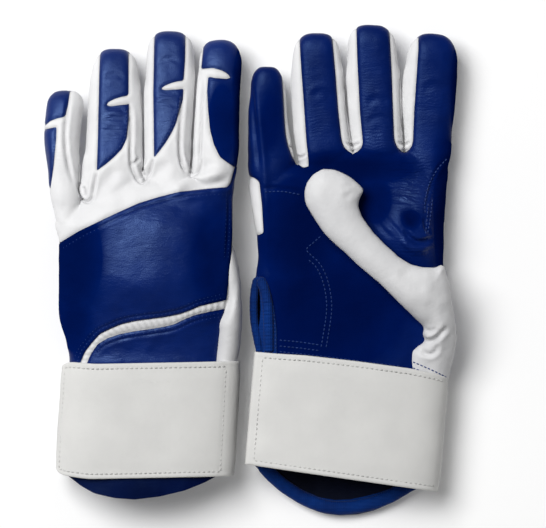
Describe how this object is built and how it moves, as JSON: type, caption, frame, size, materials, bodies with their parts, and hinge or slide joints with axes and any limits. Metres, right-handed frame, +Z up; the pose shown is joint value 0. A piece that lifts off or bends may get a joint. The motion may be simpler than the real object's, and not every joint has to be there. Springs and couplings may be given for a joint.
{
  "type": "pair of batting gloves",
  "caption": "Pair of leather batting gloves lying flat, one back up and one palm up, with hinged fingers, a thumb folded over the palm and wrist straps that open.",
  "frame": {"origin": "middle of the pair's footprint, on the surface that it lies on", "axes": "+Y towards the fingertips, +X from the left glove to the right glove, +Z up from the surface"},
  "size_m": [0.2108, 0.2512, 0.0401],
  "materials": {
    "blue_leather": "smooth semi-gloss royal-blue leather",
    "white_leather": "matte white leather",
    "strap": "white synthetic leather, stitched round its edge",
    "cuff_lining": "blue bound cuff with a dark lining",
    "knit_binding": "elastic knit binding",
    "fastener": "hook-and-loop tape"
  },
  "bodies": {
    "left_little": {"left_little_front": "blue_leather", "left_little_back_tip": "blue_leather", "left_little_back_base": "blue_leather", "left_little_sides": "white_leather"},
    "left_ring": {"left_ring_front": "blue_leather", "left_ring_back_tip": "blue_leather", "left_ring_back_base": "blue_leather", "left_ring_sides": "white_leather"},
    "left_middle": {"left_middle_front": "blue_leather", "left_middle_back_tip": "blue_leather", "left_middle_back_base": "blue_leather", "left_middle_sides": "white_leather"},
    "left_index": {"left_index_front": "blue_leather", "left_index_back_tip": "blue_leather", "left_index_back_base": "blue_leather", "left_index_sides": "white_leather"},
    "left_thumb": {"left_thumb_back": "white_leather", "left_thumb_front": "blue_leather"},
    "hands": {"left_knuckle_panel": "white_leather", "left_back_panel": "blue_leather", "left_back_stripe": "white_leather", "left_wrist_panel": "blue_leather", "left_vent_binding": "knit_binding", "left_palm": "blue_leather", "left_thumb_base": "white_leather", "left_cuff": "cuff_lining", "left_loop_patch": "fastener", "left_strap_band": "strap", "right_knuckle_panel": "white_leather", "right_back_panel": "blue_leather", "right_back_stripe": "white_leather", "right_wrist_panel": "blue_leather", "right_vent_binding": "knit_binding", "right_palm": "blue_leather", "right_thumb_base": "white_leather", "right_cuff": "cuff_lining", "right_loop_patch": "fastener", "right_strap_band": "strap"},
    "left_flap": {"left_hook_patch": "fastener", "left_strap_flap": "strap"},
    "right_little": {"right_little_front": "blue_leather", "right_little_back_tip": "blue_leather", "right_little_back_base": "blue_leather", "right_little_sides": "white_leather"},
    "right_ring": {"right_ring_front": "blue_leather", "right_ring_back_tip": "blue_leather", "right_ring_back_base": "blue_leather", "right_ring_sides": "white_leather"},
    "right_middle": {"right_middle_front": "blue_leather", "right_middle_back_tip": "blue_leather", "right_middle_back_base": "blue_leather", "right_middle_sides": "white_leather"},
    "right_index": {"right_index_front": "blue_leather", "right_index_back_tip": "blue_leather", "right_index_back_base": "blue_leather", "right_index_sides": "white_leather"},
    "right_thumb": {"right_thumb_back": "white_leather", "right_thumb_front": "blue_leather"},
    "right_flap": {"right_hook_patch": "fastener", "right_strap_flap": "strap"}
  },
  "joints": [
    {"name": "left_little_flex", "type": "hinge", "parent": "hands", "child": "left_little", "pos_m": [-0.09576, 0.03709, 0.01695], "axis": [-1, 0.0055, 0], "range_deg": [0, 75]},
    {"name": "left_ring_flex", "type": "hinge", "parent": "hands", "child": "left_ring", "pos_m": [-0.07276, 0.04359, 0.01595], "axis": [-0.9992, 0.0401, 0], "range_deg": [0, 75]},
    {"name": "left_middle_flex", "type": "hinge", "parent": "hands", "child": "left_middle", "pos_m": [-0.04466, 0.04859, 0.01532], "axis": [-0.9994, 0.0338, 0], "range_deg": [0, 75]},
    {"name": "left_index_flex", "type": "hinge", "parent": "hands", "child": "left_index", "pos_m": [-0.02016, 0.04959, 0.01521], "axis": [-0.999, 0.0439, 0], "range_deg": [0, 75]},
    {"name": "left_thumb_lift", "type": "hinge", "parent": "hands", "child": "left_thumb", "pos_m": [-0.01846, -0.01741, 0.00401], "axis": [-0.6603, -0.751, 0], "range_deg": [0, 60]},
    {"name": "left_strap_open", "type": "hinge", "parent": "hands", "child": "left_flap", "pos_m": [-0.0058, -0.07591, 0.01155], "axis": [0, -1, 0], "range_deg": [0, 90]},
    {"name": "right_little_flex", "type": "hinge", "parent": "hands", "child": "right_little", "pos_m": [0.00984, 0.05309, 0.02124], "axis": [1, 0.0098, 0], "range_deg": [0, 75]},
    {"name": "right_ring_flex", "type": "hinge", "parent": "hands", "child": "right_ring", "pos_m": [0.03764, 0.05759, 0.02117], "axis": [0.9958, 0.0919, 0], "range_deg": [0, 75]},
    {"name": "right_middle_flex", "type": "hinge", "parent": "hands", "child": "right_middle", "pos_m": [0.06454, 0.06039, 0.02115], "axis": [0.9987, 0.0505, 0], "range_deg": [0, 75]},
    {"name": "right_index_flex", "type": "hinge", "parent": "hands", "child": "right_index", "pos_m": [0.08974, 0.06039, 0.02115], "axis": [0.9993, -0.0379, 0], "range_deg": [0, 75]},
    {"name": "right_thumb_lift", "type": "hinge", "parent": "hands", "child": "right_thumb", "pos_m": [0.09284, -0.01621, 0.0346], "axis": [0.7049, 0.7093, 0], "range_deg": [0, 60]},
    {"name": "right_strap_open", "type": "hinge", "parent": "hands", "child": "right_flap", "pos_m": [0.09882, -0.0818, 0.01975], "axis": [0.1115, 0.9938, 0], "range_deg": [0, 150]}
  ]
}
